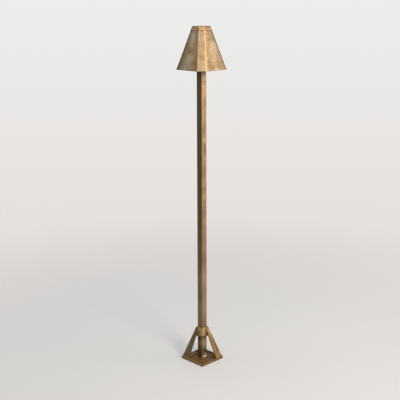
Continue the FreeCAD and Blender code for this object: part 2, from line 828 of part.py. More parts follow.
def make_shade_cap():
    """Hollow cap with a rounded edge, a lip round the gasket and a boss down to the hat's roof."""
    body = new_body("shade_cap", level=CAP_LEVEL)
    lip = "(gasket_thickness - seat_gap)"
    sections = [cap_section(body, f"-{lip}", "cap_inset")]
    for band in range(EDGE_BANDS + 1):
        angle = math.radians(90 * band / EDGE_BANDS)
        fall = round(1 - math.sin(angle), 6)
        draw = round(1 - math.cos(angle), 6)
        height = f"cap_height - {fall} * cap_edge"
        sections.append(cap_section(body, height, f"cap_inset + {draw} * cap_edge"))
    loft(body, sections)
    seat = octagon_corners("shade_top_side", "shade_top_corner", "shade_bend", "gasket_inset - seat_gap")
    pocket(body, outline(new_sketch(body, offset=f"-{lip}"), seat), lip, along_normal=True)
    narrow_side = f"(shade_top_side - {SIDE_SLOPE} * cap_height - 2 * cap_inset - 2 * cap_wall)"
    hollow = octagon_corners(narrow_side, "shade_top_corner - cap_wall", "shade_bend")
    pocket(body, outline(new_sketch(body), hollow), "cap_height - cap_roof", along_normal=True)
    pad(body, circle(new_sketch(body, offset="-gasket_thickness"), "0", "0", "cap_boss"),
        "gasket_thickness + cap_height - cap_roof / 2")
    pocket(body, circle(new_sketch(body), "0", "0", CAP_CLEAR_HOLE))
    wide = "(cap_screw_head / 2 + cap_screw_rim + cap_screw_sink + seat_gap)"
    narrow = f"({CAP_CLEAR_HOLE} / 2)"
    cone_cut(body, "0", "0", f"cap_height - ({wide} - {narrow})", narrow, wide, f"{wide} - {narrow}")


def make_cap_screw():
    """Countersunk screw from the cap down through the strap and its nut."""
    body = new_body("cap_screw", level=f"{CAP_LEVEL} + cap_height - cap_screw_sink")
    top_of_nut = "(cap_height + gasket_thickness + roof_thickness + bracket_thickness - cap_screw_sink)"
    tip = f"-({top_of_nut} + nut_height + cap_screw_tip)"
    neck = "-(cap_screw_rim + (cap_screw_head - cap_thread) / 2)"
    profile = outline(new_sketch(body, "XZ"), [
        ("0", tip),
        ("cap_thread / 2", tip),
        ("cap_thread / 2", neck),
        ("cap_screw_head / 2", "-cap_screw_rim"),
        ("cap_screw_head / 2", "0"),
        ("0", "0"),
    ])
    turn_solid(body, profile, "V_Axis")
    pocket(body, outline(new_sketch(body), hexagon_corners("cap_screw_key")), "key_depth")


def build():
    """Make every piece."""
    fill_sheet()
    make_base_plate()
    make_foot_boss()
    make_cable_grommet()
    make_base_collar()
    make_collar_screws()
    make_leg("leg_right", 0)
    make_leg("leg_left", 180)
    make_stem()
    make_cross_screws("stem_screws", "plate_thickness + stem_screw_height", 0)
    make_stem_head()
    make_cross_screws("head_screws", f"{STEM_TOP} - head_screw_depth", 90)
    make_shade_bracket()
    make_upright_screws("bracket_screws", BRACKET_SCREW_PLACE, "bracket_thickness", 0)
    make_bracket_nut()
    make_lampholder()
    make_upright_screws("holder_screws", "holder_screw_reach", "holder_ear", 90)
    make_lamp_contacts()
    make_lead("lead_long", 1, "0")
    make_lead("lead_short", -1, "splice_stagger")
    make_lead_splices()
    make_lamp_base()
    make_lamp_pins()
    make_lamp_envelope()
    make_led_board()
    make_led_chips()
    make_shade()
    make_shade_roof()
    make_cap_gasket()
    make_shade_cap()
    make_cap_screw()
    doc.recompute()


def check_and_export():
    """Stop at any broken piece, then write each piece to its own file."""
    for part in doc.Objects:
        if {"Invalid", "Error"} & set(part.State):
            raise ValueError(f"{part.Label} did not build")
    os.makedirs("parts", exist_ok=True)
    for body in nodes:
        shape = body.Shape
        if shape.isNull() or not shape.isValid():
            raise ValueError(f"{body.Label} has no sound shape")
        shape.exportStep(f"parts/{body.Label}.step")
        print(body.Label, len(shape.Solids), round(shape.Volume / 1000, 3))


build()
check_and_export()
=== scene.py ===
# %% [markdown]
# # A garden path light in aged brass
# A square plate with two braces carries a tall square tube, and a tapered eight-sided hat
# hides a small lamp at the top. The solids already have their exact shapes and places, so
# this lesson dresses them: it gives the light, the camera, the skin of the metal and the
# small forms that folding, heat and handwork leave behind, one step at a time.

# %% Load the solids
import json
import math

import bmesh
import bpy
from mathutils import Euler, Matrix, Vector


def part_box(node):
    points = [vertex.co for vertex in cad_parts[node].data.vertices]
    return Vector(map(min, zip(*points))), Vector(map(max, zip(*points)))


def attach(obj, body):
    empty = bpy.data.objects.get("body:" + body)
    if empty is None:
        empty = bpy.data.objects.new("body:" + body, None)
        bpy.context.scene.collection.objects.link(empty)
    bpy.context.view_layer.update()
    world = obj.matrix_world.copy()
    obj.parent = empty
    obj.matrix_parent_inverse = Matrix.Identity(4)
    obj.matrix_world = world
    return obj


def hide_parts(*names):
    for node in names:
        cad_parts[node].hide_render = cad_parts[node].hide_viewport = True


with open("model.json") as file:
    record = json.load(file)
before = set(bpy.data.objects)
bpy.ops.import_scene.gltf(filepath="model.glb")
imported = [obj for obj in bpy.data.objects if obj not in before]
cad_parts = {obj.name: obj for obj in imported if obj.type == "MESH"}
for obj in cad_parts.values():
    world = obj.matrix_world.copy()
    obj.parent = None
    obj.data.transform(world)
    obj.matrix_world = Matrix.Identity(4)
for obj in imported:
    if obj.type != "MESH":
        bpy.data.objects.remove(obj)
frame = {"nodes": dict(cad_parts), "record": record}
scene = bpy.context.scene
nodes = frame["nodes"]
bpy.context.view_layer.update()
MM = 0.001

# %% [markdown]
# ## Helpers
# Every tree in this lesson, for a material or for a shape, is a handful of nodes with a few
# numbers. One function adds a node, sets its own properties and fills its inputs, so that a
# tree reads from top to bottom as a recipe. Four short ones stand for the nodes that come up
# most: a sum, a sum of vectors, a sum of whole numbers, and a fade from one value to another.
# Colours are written as the hex values a colour picker shows and turned into the linear light
# that a shader reckons with.

# %% Nodes


def add(tree, kind, links=None, **settings):
    """Add a node. Each link fills an input with a value, a node or a (node, output) pair."""
    node = tree.nodes.new(kind)
    for name, value in settings.items():
        setattr(node, name, value)
    for key, value in (links or {}).items():
        named = [spot for spot in node.inputs if spot.enabled and spot.name == key]
        spot = named[0] if named else node.inputs[key]
        if isinstance(value, bpy.types.Node):
            value = (value, next(out.name for out in value.outputs if out.enabled))
        if isinstance(value, tuple) and isinstance(value[0], bpy.types.Node):
            outs = [out for out in value[0].outputs if out.enabled and out.name == value[1]]
            tree.links.new(outs[0], spot)
        else:
            spot.default_value = value
    return node


def maths(tree, operation, *values, **settings):
    """Add a Math node whose inputs take these values in turn."""
    return add(tree, "ShaderNodeMath", dict(enumerate(values)), operation=operation, **settings)


def vectors(tree, operation, *values):
    """Add a Vector Math node whose inputs take these values in turn."""
    return add(tree, "ShaderNodeVectorMath", dict(enumerate(values)), operation=operation)


def integers(tree, operation, *values):
    """Add an Integer Math node whose inputs take these values in turn."""
    return add(tree, "FunctionNodeIntegerMath", dict(enumerate(values)), operation=operation)


def fade(tree, value, start, end, at_start=0.0, at_end=1.0, smooth=False):
    """While the value goes from start to end, go from at_start to at_end."""
    return add(tree, "ShaderNodeMapRange", {
        "Value": value, "From Min": start, "From Max": end, "To Min": at_start, "To Max": at_end,
    }, interpolation_type="SMOOTHSTEP" if smooth else "LINEAR")


# %% Colours


def tone(code):
    """Turn an sRGB hex colour into a linear one."""
    parts = [int(code[start:start + 2], 16) / 255 for start in (1, 3, 5)]
    linear = [p / 12.92 if p <= 0.04045 else ((p + 0.055) / 1.055) ** 2.4 for p in parts]
    return (*linear, 1.0)


def set_stops(ramp, stops):
    """Give a colour ramp these places and tones."""
    elements = ramp.color_ramp.elements
    while len(elements) < len(stops):
        elements.new(1.0)
    for element, (place, code) in zip(elements, stops):
        element.position = place
        element.color = tone(code)


print("a mid tan in linear light is", [round(part, 3) for part in tone("#bc9976")[:3]])

# %% [markdown]
# ## Camera
# The view is from just above the hat, a little over two metres off, facing a corner
# of the post so that two of its sides show. A long lens from that spot, tilted down, keeps
# the hat almost level and still shows the plate from above. The lens is reckoned from the
# picture's own width in pixels. A hand-held camera is never quite level, so it also has a
# fifth of a degree of roll.

# %% Camera
PICTURE_SIDE = 400
FOCAL_PIXELS = 824.7
SENSOR_WIDTH = 36
FACING = math.radians(45)
TILT = math.radians(14.33)
EYE_DISTANCE = 2.3
EYE_HEIGHT = 1.08
EYE_SIDESTEP = -0.0053
ROLL = math.radians(-0.2)

lens = bpy.data.cameras.new("camera")
lens.sensor_width = SENSOR_WIDTH
lens.lens = SENSOR_WIDTH * FOCAL_PIXELS / PICTURE_SIDE
camera = bpy.data.objects.new("camera", lens)
scene.collection.objects.link(camera)
camera.location = (
    math.sin(FACING) * EYE_DISTANCE + math.cos(FACING) * EYE_SIDESTEP,
    -math.cos(FACING) * EYE_DISTANCE + math.sin(FACING) * EYE_SIDESTEP,
    EYE_HEIGHT,
)
upright = Euler((math.pi / 2 - TILT, 0, FACING)).to_matrix()
camera.rotation_euler = (upright @ Matrix.Rotation(ROLL, 3, "Z")).to_euler()
scene.camera = camera
scene.view_settings.view_transform = "Standard"
print("lens", round(lens.lens, 2), "mm at", [round(v, 3) for v in camera.location])

# %% [markdown]
# ## Floor
# The light stands on a plain pale floor. A square plane would show its far edge, so the
# floor is a disc of paint that thins out to nothing before its rim and lets the backdrop
# take over. The paint has a faint cloudiness, as rolled paint has, so that the shadow does
# not fall on a dead flat colour.

# %% Floor disc
FLOOR_RADIUS = 1.8
FLOOR_SPOKES = 64

floor_mesh = bpy.data.meshes.new("floor")
floor_ring = []
for spoke in range(FLOOR_SPOKES):
    angle = 2 * math.pi * spoke / FLOOR_SPOKES
    floor_ring.append((FLOOR_RADIUS * math.cos(angle), FLOOR_RADIUS * math.sin(angle), 0))
floor_mesh.from_pydata(floor_ring, [], [range(FLOOR_SPOKES)])
floor = bpy.data.objects.new("floor", floor_mesh)
scene.collection.objects.link(floor)
print("floor disc", 2 * FLOOR_RADIUS, "m across")

# %% Floor paint
FLOOR_FADE_START = 0.2
FLOOR_FADE_END = 1.7
FLOOR_CLOUD = 0.6


def new_material(name):
    """Start an empty material, with the coordinates that its patterns are laid on."""
    material = bpy.data.materials.new(name)
    material.use_nodes = True
    material.node_tree.nodes.clear()
    return material, material.node_tree, add(material.node_tree, "ShaderNodeTexCoord")


# Matte wall paint: pale, a touch cool so that the warm light leaves it nearly white
paint, tree, place = new_material("rolled matte paint")
cloud = add(tree, "ShaderNodeTexNoise", {
    "Vector": (place, "Object"), "Scale": 1 / FLOOR_CLOUD, "Detail": 3.0})
colour = add(tree, "ShaderNodeMix", {
    "Factor": cloud, "A": tone("#a6a7a9"), "B": tone("#acadaf")}, data_type="RGBA")
away = vectors(tree, "LENGTH", (place, "Object"))
cover = fade(tree, (away, "Value"), FLOOR_FADE_START, FLOOR_FADE_END, 1.0, 0.0, smooth=True)
shader = add(tree, "ShaderNodeBsdfPrincipled", {
    "Base Color": colour, "Roughness": 0.9, "Specular IOR Level": 0.1, "Alpha": cover})
add(tree, "ShaderNodeOutputMaterial", {"Surface": shader})
floor_mesh.materials.append(paint)
print("floor paint fades out", FLOOR_FADE_END, "m from the post")

# %% [markdown]
# ## Room
# A picture of metal is mostly a picture of its room, because every face shows what it looks
# out on. The backdrop that the camera sees is a plain pale sweep. The room that the metal
# sees is bright toward the sun's side and dim on the other, so one side of the square post
# is light and the other dark.

# %% Room
SUN_WAY = Vector((0.86, -0.1, 0.5)).normalized()
DIM_UNTIL = -0.5
BRIGHT_FROM = 0.9
ROOM_DIM = "#7f8082"
ROOM_BRIGHT = "#d8d2c8"
ROOM_STRENGTH = 0.8
SWEEP_FOOT = -0.43
SWEEP_TOP = 0.0

room = bpy.data.worlds.new("studio room")
scene.world = room
room.use_nodes = True
tree = room.node_tree
tree.nodes.clear()
place = add(tree, "ShaderNodeTexCoord")
height = add(tree, "ShaderNodeSeparateXYZ", {"Vector": (place, "Generated")})
rise = fade(tree, (height, "Z"), SWEEP_FOOT, SWEEP_TOP)
sweep = add(tree, "ShaderNodeValToRGB", {"Fac": rise})
set_stops(sweep, [(0.0, "#ddd8d5"), (0.5, "#e8e3e1"), (1.0, "#eceeed")])
seen = add(tree, "ShaderNodeBackground", {"Color": sweep, "Strength": 1.0})
sunward = vectors(tree, "DOT_PRODUCT", (place, "Generated"), SUN_WAY)
share = fade(tree, (sunward, "Value"), DIM_UNTIL, BRIGHT_FROM, smooth=True)
walls = add(tree, "ShaderNodeMix", {
    "Factor": share, "A": tone(ROOM_DIM), "B": tone(ROOM_BRIGHT)}, data_type="RGBA")
felt = add(tree, "ShaderNodeBackground", {"Color": walls, "Strength": ROOM_STRENGTH})
ray = add(tree, "ShaderNodeLightPath")
both = add(tree, "ShaderNodeMixShader", {0: (ray, "Is Camera Ray"), 1: felt, 2: seen})
add(tree, "ShaderNodeOutputWorld", {"Surface": both})
print("room tree of", len(tree.nodes), "nodes")

# %% [markdown]
# ## Lights
# A sun would cast a hard shadow, and here it falls softly, so every light is a softbox. A
# warm one on the sun's side does most of the work. Two more warm ones catch the right edge
# and the front facet of the hat, a weak cool one opens up the left side, and a large cool
# one overhead lights the floor and the tops.

# %% Lights
OBJECT_MIDDLE = Vector((0, 0, 0.55))
WARM = "#fff3e4"
COOL = "#f2f4f6"


def softbox(name, azimuth, elevation, distance, size, power, colour):
    """Hang a soft light that faces the middle of the object."""
    box = bpy.data.lights.new(name, "AREA")
    box.shape = "RECTANGLE"
    box.size, box.size_y = size
    box.energy = power
    box.color = tone(colour)[:3]
    stand = bpy.data.objects.new(name, box)
    scene.collection.objects.link(stand)
    turn = math.radians(azimuth)
    lift = math.radians(elevation)
    way = Vector((math.sin(turn) * math.cos(lift), -math.cos(turn) * math.cos(lift),
                  math.sin(lift)))
    stand.location = OBJECT_MIDDLE + way * distance
    stand.rotation_euler = way.to_track_quat("Z", "Y").to_euler()
    stand.visible_camera = False


softbox("sun_box", 78, 24, distance=2.6, size=(0.9, 0.9), power=70, colour=WARM)
softbox("right_box", 134, 6, distance=2.4, size=(1.2, 2.0), power=30, colour=WARM)
softbox("front_box", 52, 38, distance=2.4, size=(0.6, 0.6), power=8.5, colour=WARM)
softbox("left_box", -45, 27, distance=2.4, size=(0.8, 0.8), power=6.5, colour=COOL)
softbox("top_box", 225, 75, distance=3.0, size=(2.6, 2.6), power=120, colour=COOL)

# %% [markdown]
# ## Aged brass
# The maker leaves the brass bare, and weather does the rest: it goes from gold through tan
# and brown to a grey olive. A photograph pasted on would not fit any other side, so the skin
# is grown from noise instead. A broad mottle runs through the tones of the patina. Over it go
# masks, and each lays one more tone on the metal: some for what weather and hands do, and some
# for painted light and shade, as the greyer side away from the sun, shade in the folds and on
# level tops, and highlights on the bends. The same mottle drives the gloss, because patina is
# rougher than bare metal.

# %% Weather, painted shade and patches
SUNNY_SIDE = (0.94, 0.34, 0.0)
WEATHER_AND_SHADE_RAGGED = 1.2
WEATHER_AND_SHADE_FADE = (-1.2, 0.0)
PATCH_SCALE = 0.8
PATCH_SEED = 7.0
BLOOM_FADE = (0.5, 0.62)
BROWN_FADE = (0.48, 0.38)


def noise(tree, where, grain_mm, **links):
    """Add a noise with grains of this size."""
    return add(tree, "ShaderNodeTexNoise", {
        "Vector": where, "Scale": 1 / (grain_mm * MM), **links})


def weather_and_shade_side(tree, spot, mottle, amount):
    """Say how far round toward the sun a point lies, and the grey of patina and painted shade
    there.
    """
    level = vectors(tree, "MULTIPLY", spot, (1.0, 1.0, 0.0))
    way = vectors(tree, "NORMALIZE", level)
    sunny = (vectors(tree, "DOT_PRODUCT", way, SUNNY_SIDE), "Value")
    ragged = maths(tree, "MULTIPLY_ADD", mottle, -WEATHER_AND_SHADE_RAGGED, sunny)
    return sunny, fade(tree, ragged, *WEATHER_AND_SHADE_FADE, amount, 0.0, smooth=True)


def patch_masks(tree, spot, mottle_mm, weather_and_shade, amount):
    """Give broad patches, and from them a green bloom and bare brown on the greyer, shaded side."""
    patches = add(tree, "ShaderNodeTexNoise", {
        "Vector": spot, "Scale": PATCH_SCALE / (mottle_mm * MM), "Detail": 3.0,
        "W": PATCH_SEED}, noise_dimensions="4D")
    bloomed = fade(tree, patches, *BLOOM_FADE, at_end=amount)
    browned = fade(tree, patches, *BROWN_FADE, at_end=amount)
    return patches, *[maths(tree, "MULTIPLY", mask, weather_and_shade) for mask in (bloomed, browned)]


# %% Stains, damp and painted light and shade
BLOT_RAGGED = 2.0
BLOT_CORE = 1.1
BLOT_RIM = 2.4
DAMP_AND_SHADE_CORE = 0.5
DAMP_AND_SHADE_RIM = 1.6
SHADE_FADE = (-0.1, 0.25)


def stain_and_light_masks(tree, spot, mottle, stains_and_painted_light):
    """Give each stain's or painted blot's mask and tone: a blot round its centre, with a ragged
    edge.
    """
    blots = []
    for centre, radius_mm, code, amount in stains_and_painted_light:
        radius = radius_mm * MM
        off = vectors(tree, "DISTANCE", spot, [part * MM for part in centre])
        uneven = maths(tree, "MULTIPLY_ADD", mottle, BLOT_RAGGED * radius, (off, "Value"))
        blot = fade(tree, uneven, BLOT_CORE * radius, BLOT_RIM * radius, amount, 0.0, smooth=True)
        blots.append((blot, code))
    return blots


def damp_and_shade_mask(tree, spot, mottle, looks, level_mm, reach_mm, amount, sunny_share):
    """Damp from the ground, or painted shade along a lower edge; faces turned sunward keep a share.
    """
    reach = reach_mm * MM
    height = add(tree, "ShaderNodeSeparateXYZ", {"Vector": spot})
    above = maths(tree, "SUBTRACT", (height, "Z"), level_mm * MM)
    soak = maths(tree, "MULTIPLY_ADD", mottle, reach, above)
    soaked = fade(tree, soak, DAMP_AND_SHADE_CORE * reach, DAMP_AND_SHADE_RIM * reach, amount, 0.0)
    shaded_side = fade(tree, looks, *SHADE_FADE, 1.0, sunny_share)
    return maths(tree, "MULTIPLY", soaked, shaded_side)


# %% Painted shade and highlights at folds, specks and worn edges
# How closely each hugs the bend, how far round it lies, and how strong it is
FOLD_SHADE_POWER, FOLD_SHADE_AMOUNT = 0.7, 0.9
RIM_SHADE_POWER, RIM_SHADE_LEFT_AMOUNT, RIM_SHADE_RIGHT_AMOUNT = 3.0, 0.9, 0.6
HIGHLIGHT_POWER, HIGHLIGHT_AMOUNT = 8.0, 0.3
RIM_SHADE_LEFT_FADE = (-0.5, -0.1)
RIM_SHADE_RIGHT_FADE = (0.86, 0.96)
HIGHLIGHT_FADE = (0.4, 0.55)
SPECK_MM = 2.4
SPECK_AMOUNT = 0.4
SPECK_FADE = (0.58, 0.68)
CLUSTER_FADE = (0.52, 0.44)
WORN_AMOUNT = 0.6
WORN_FADE = (0.99, 0.88)


def fold_shade_and_highlight_masks(tree, sunny, looks):
    """Paint shade at folds: brown on the shaded side, grey farther round, and a highlight sunward.
    """
    bend = (add(tree, "ShaderNodeAttribute", attribute_name="bend"), "Fac")
    shaded = fade(tree, looks, *SHADE_FADE, FOLD_SHADE_AMOUNT, 0.0)
    far_left = fade(tree, sunny, *RIM_SHADE_LEFT_FADE, RIM_SHADE_LEFT_AMOUNT, 0.0)
    far_right = fade(tree, sunny, *RIM_SHADE_RIGHT_FADE, 0.0, RIM_SHADE_RIGHT_AMOUNT)
    far_round = maths(tree, "ADD", far_left, far_right)
    toward_light = fade(tree, sunny, *HIGHLIGHT_FADE, at_end=HIGHLIGHT_AMOUNT)
    highlight_side = maths(tree, "SUBTRACT", toward_light, far_right, use_clamp=True)
    sides = ((FOLD_SHADE_POWER, shaded), (RIM_SHADE_POWER, far_round), (HIGHLIGHT_POWER, highlight_side))
    return [maths(tree, "MULTIPLY", maths(tree, "POWER", bend, power), side)
            for power, side in sides]


def speck_mask(tree, spot, patches):
    """Small specks of brown, in clusters."""
    fine = noise(tree, spot, SPECK_MM, Detail=2.0)
    dots = fade(tree, fine, *SPECK_FADE, at_end=SPECK_AMOUNT)
    cluster = fade(tree, patches, *CLUSTER_FADE)
    return maths(tree, "MULTIPLY", dots, cluster)


def worn_mask(tree, normal, soft_edge, streak):
    """Edges rubbed bright: where a rounded normal turns away from the face's own."""
    turned = vectors(tree, "DOT_PRODUCT", soft_edge, normal)
    rubbed = fade(tree, (turned, "Value"), *WORN_FADE, at_end=WORN_AMOUNT)
    return maths(tree, "MULTIPLY", rubbed, streak)


# %% Aged brass
GRAIN_MM = 1.6
RELIEF_MM = 0.05
STREAK_AMOUNT = 0.5
STREAK_FADE = (0.5, 0.72)
TOP_SHADE_FADE = (0.4, 0.9)
EDGE_SAMPLES = 4
BLOOM_TONE = "#7c8a78"
BROWN_AND_FOLD_SHADE_TONE = "#7d5a35"
RIM_SHADE_TONE = "#4b453a"
TOP_SHADE_TONE = "#5c4129"
NOISE_SPREAD = (0.3, 0.7)


def aged_brass(name, stops, mottle_mm, streak_mm, streak_tone, weather_and_shade_tone, worn_and_highlight_tone, gloss,
               metal, streak_run=12.0, weather_and_shade_amount=0.7, bloom_amount=0.0, top_shade_amount=0.0,
               damp_and_shade_mm=20.0, damp_and_shade_level_mm=0.0, damp_and_shade_amount=0.0, damp_and_shade_lit_share=1.0,
               damp_and_shade_tone="#563513", stains_and_painted_light=(), blot_matte=0.0, edge_mm=0.9):
    """Brass with a patina. A stain, or a blot of painted light and shade, is a centre, radius,
    tone, amount (mm).
    """
    material, tree, place = new_material(name)
    spot = (place, "Object")
    mottle = noise(tree, spot, mottle_mm, Detail=6.0, Roughness=0.6, Distortion=0.5)
    patina = add(tree, "ShaderNodeValToRGB", {"Fac": mottle})
    set_stops(patina, stops)

    # Streaks follow the way that water and drawing dies run
    drawn = add(tree, "ShaderNodeMapping", {"Vector": spot, "Scale": (1.0, 1.0, 1 / streak_run)})
    streak = noise(tree, drawn, streak_mm, Detail=4.0, Roughness=0.65)
    run = fade(tree, streak, *STREAK_FADE, at_end=STREAK_AMOUNT)

    # Which way a face looks: shade is painted on faces turned from the sun and on level tops
    normal = (add(tree, "ShaderNodeNewGeometry"), "Normal")
    looks = (vectors(tree, "DOT_PRODUCT", normal, SUNNY_SIDE), "Value")
    upward = add(tree, "ShaderNodeSeparateXYZ", {"Vector": normal})
    stand = fade(tree, (upward, "Z"), *TOP_SHADE_FADE, at_end=top_shade_amount)

    # The greyer side away from the sun is partly patina and partly painted shade
    sunny, weather_and_shade = weather_and_shade_side(tree, spot, mottle, weather_and_shade_amount)
    patches, bloom, brown = patch_masks(tree, spot, mottle_mm, weather_and_shade, bloom_amount)
    blots = stain_and_light_masks(tree, spot, mottle, stains_and_painted_light)
    damp_and_shade = damp_and_shade_mask(tree, spot, mottle, looks, damp_and_shade_level_mm, damp_and_shade_mm, damp_and_shade_amount, damp_and_shade_lit_share)
    # Painted shade along the folds and a painted highlight on the sunny bends
    fold_shade, rim_shade, painted_highlight = fold_shade_and_highlight_masks(tree, sunny, looks)
    specks = speck_mask(tree, spot, patches)
    soft_edge = add(tree, "ShaderNodeBevel", {"Radius": edge_mm * MM}, samples=EDGE_SAMPLES)
    worn = worn_mask(tree, normal, soft_edge, streak)
    skin = patina
    for mask, code in ((run, streak_tone), (weather_and_shade, weather_and_shade_tone), (bloom, BLOOM_TONE),
                       (brown, BROWN_AND_FOLD_SHADE_TONE), (damp_and_shade, damp_and_shade_tone), *blots, (fold_shade, BROWN_AND_FOLD_SHADE_TONE),
                       (rim_shade, RIM_SHADE_TONE), (stand, TOP_SHADE_TONE), (specks, BROWN_AND_FOLD_SHADE_TONE),
                       (painted_highlight, worn_and_highlight_tone), (worn, worn_and_highlight_tone)):
        skin = add(tree, "ShaderNodeMix", {
            "Factor": mask, "A": skin, "B": tone(code)}, data_type="RGBA")

    # Blots can be made matte, hiding the metal: on the stem they are painted light and shade
    shine = metal
    if blot_matte:
        for blot, _ in blots:
            bare = maths(tree, "MULTIPLY_ADD", blot, -blot_matte, 1.0)
            shine = maths(tree, "MULTIPLY", bare, shine)
    smooth, dull = gloss
    rough = fade(tree, mottle, *NOISE_SPREAD, dull, smooth)
    grain = noise(tree, drawn, GRAIN_MM, Detail=3.0)
    relief = add(tree, "ShaderNodeBump", {
        "Height": grain, "Distance": RELIEF_MM * MM, "Normal": soft_edge})
    shader = add(tree, "ShaderNodeBsdfPrincipled", {
        "Base Color": skin, "Metallic": shine, "Roughness": rough, "Normal": relief})
    add(tree, "ShaderNodeOutputMaterial", {"Surface": shader})
    return material


# %% [markdown]
# ## Five brasses
# The hat, its cap, the stem, the base and the braces are all brass, but each was made another
# way and stands in other weather. One recipe could give them one look, and the light would
# then seem cast in a mould. So each has its own tones, its own size of mottle, streaks as its
# making leaves them, its own stains, and its own painted light and shade.

# %% Hat and cap
finishes = {}

# Sheet brass, wire-brushed and left out: cloudy tan and brown with grey-olive patches. Shade is
# painted in the folds and as a dark line along the lower edge away from the sun, and a
# highlight is painted along the bends on the sunny side
finishes["shade_brass"] = aged_brass(
    "sheet brass, brown and olive patina",
    [(0.3, "#80694b"), (0.42, "#8d775b"), (0.55, "#98836a"), (0.7, "#a28f77")],
    mottle_mm=30, streak_mm=6, streak_tone="#776750", weather_and_shade_tone="#7c7565",
    worn_and_highlight_tone="#d8ad78", gloss=(0.34, 0.52), metal=0.8, bloom_amount=0.4, edge_mm=0.4,
    stains_and_painted_light=[((-5, -52, 887), 18, "#8a8874", 0.8), ((7, -34, 953), 14, "#968b7e", 0.6),
            ((-4, -45, 914), 14, "#66543a", 0.5), ((50, -45, 875), 7, "#a39686", 0.6),
            ((50, -2, 899), 15, "#a3927b", 0.5), ((54, 17, 884), 11, "#8a6f44", 0.5),
            ((33, 7, 958), 11, "#93804f", 0.4)],
    # A dark line of painted shade along the hat's lower edge, on faces turned from the sun
    damp_and_shade_level_mm=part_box("shade")[0].z / MM, damp_and_shade_mm=2.5, damp_and_shade_amount=0.8, damp_and_shade_lit_share=0.0,
    damp_and_shade_tone="#3f2f1e")
# Cast brass, handled: the same colours, smoother and warmer, with painted shade on its level top
finishes["cap_brass"] = aged_brass(
    "cast brass, rubbed patina",
    [(0.3, "#7a5f43"), (0.5, "#9a7d5c"), (0.7, "#b0926e")],
    mottle_mm=22, streak_mm=9, streak_tone="#7d674c", weather_and_shade_tone="#6b5640",
    worn_and_highlight_tone="#d8ad78", gloss=(0.3, 0.45), metal=0.8, weather_and_shade_amount=0.6, top_shade_amount=0.7,
    edge_mm=0.4)
print("finishes of the hat:", [material.name for material in finishes.values()])

# %% Stem and base
# Drawn tube: the die leaves long fine lines, and the patina follows them. Light and shade are
# painted on as matte blots: a pale glint round the screw at its foot and lighter patches up
# the lit face, and a painted shadow just under the hat
finishes["stem_brass"] = aged_brass(
    "drawn brass tube, brown patina",
    [(0.3, "#6d563d"), (0.5, "#7b6449"), (0.7, "#897052")],
    mottle_mm=40, streak_mm=5, streak_tone="#63503a", weather_and_shade_tone="#726856",
    worn_and_highlight_tone="#b8946a", gloss=(0.34, 0.48), metal=0.8, streak_run=60.0,
    # Painted light at the foot and up the lit face, painted shadow just under the hat
    stains_and_painted_light=[((16, 6, 50), 20, "#b89c76", 0.75), ((15, 1, 10), 11, "#f2e5c8", 0.95),
            ((10, -3, 862), 12, "#3d2a15", 0.9), ((45, 10, 250), 50, "#9d8565", 0.55),
            ((45, 10, 160), 50, "#9b8a68", 0.6)],
    blot_matte=1.0)
# Rolled plate and collar: light brown above, dark where the ground keeps it damp. Blots paint
# the shadow behind the stem and the shade in the front screw hole; the orange patch on the front
# left is partly patina and partly painted light
finishes["base_brass"] = aged_brass(
    "rolled brass plate, dark brown patina",
    [(0.3, "#8b7049"), (0.48, "#a5885a"), (0.66, "#b79a6f")],
    mottle_mm=16, streak_mm=5, streak_tone="#6b5334", weather_and_shade_tone="#ab9468",
    worn_and_highlight_tone="#c09a68", gloss=(0.4, 0.6), metal=0.7, streak_run=1.0, damp_and_shade_amount=0.95,
    # Painted shadow behind the stem, a patch of patina and painted light, painted shade in a hole
    stains_and_painted_light=[((-24, 24, 5), 36, "#120c08", 1.0), ((-12, -37, 5), 14, "#8a5f22", 0.7),
            ((30.4, -30.4, 3), 6, "#2c1b0d", 0.9)])
print("finishes so far:", len(finishes))

# %% Braces
# Folded strip: brown, with light painted on: a warmer brown along the inner edge of one brace,
# where the sun reaches past the stem, and a lighter tone below the head of the other, whose
# flange end lies in shade
INNER_EDGE_FOOT = Vector((-17.6, -42.6, 4.8))
INNER_EDGE_HEAD = Vector((-3.0, -12.8, 101.8))
EDGE_SHARES = (0.1, 0.3, 0.5, 0.7, 0.9)
EDGE_LIGHT_RADIUS = 8
EDGE_LIGHT_TONE = "#7d5c38"
HEAD_LIGHT_TONE = "#8d6e40"
painted_edge_light = [(INNER_EDGE_FOOT.lerp(INNER_EDGE_HEAD, share), EDGE_LIGHT_RADIUS, EDGE_LIGHT_TONE, 0.6)
               for share in EDGE_SHARES]
painted_head_light = [((16, 5.5, 87), 7, HEAD_LIGHT_TONE, 0.8), ((19, 7, 77), 6, HEAD_LIGHT_TONE, 0.8)]
finishes["leg_brass"] = aged_brass(
    "folded brass strip, brown patina",
    [(0.3, "#5e4829"), (0.5, "#785d38"), (0.7, "#8d7048")],
    mottle_mm=18, streak_mm=4, streak_tone="#5b492a", weather_and_shade_tone="#74674f",
    worn_and_highlight_tone="#b8935a", gloss=(0.36, 0.55), metal=0.8, streak_run=8.0,
    stains_and_painted_light=painted_edge_light + painted_head_light)
print("brass finishes:", [material.name for material in finishes.values()])

# %% [markdown]
# ## Inner pieces
# The rest is seen from below, with the hat off, or as a screw head. Each of these is one
# material through and through: a metal, a rubber, a ceramic or a plastic. So one shorter
# recipe is enough, in which a single grain moves the colour a little, the gloss a little and
# the relief a little. Turned, extruded and moulded pieces differ in how the grain is
# stretched and how large it is.

# %% Recipe for the inner pieces


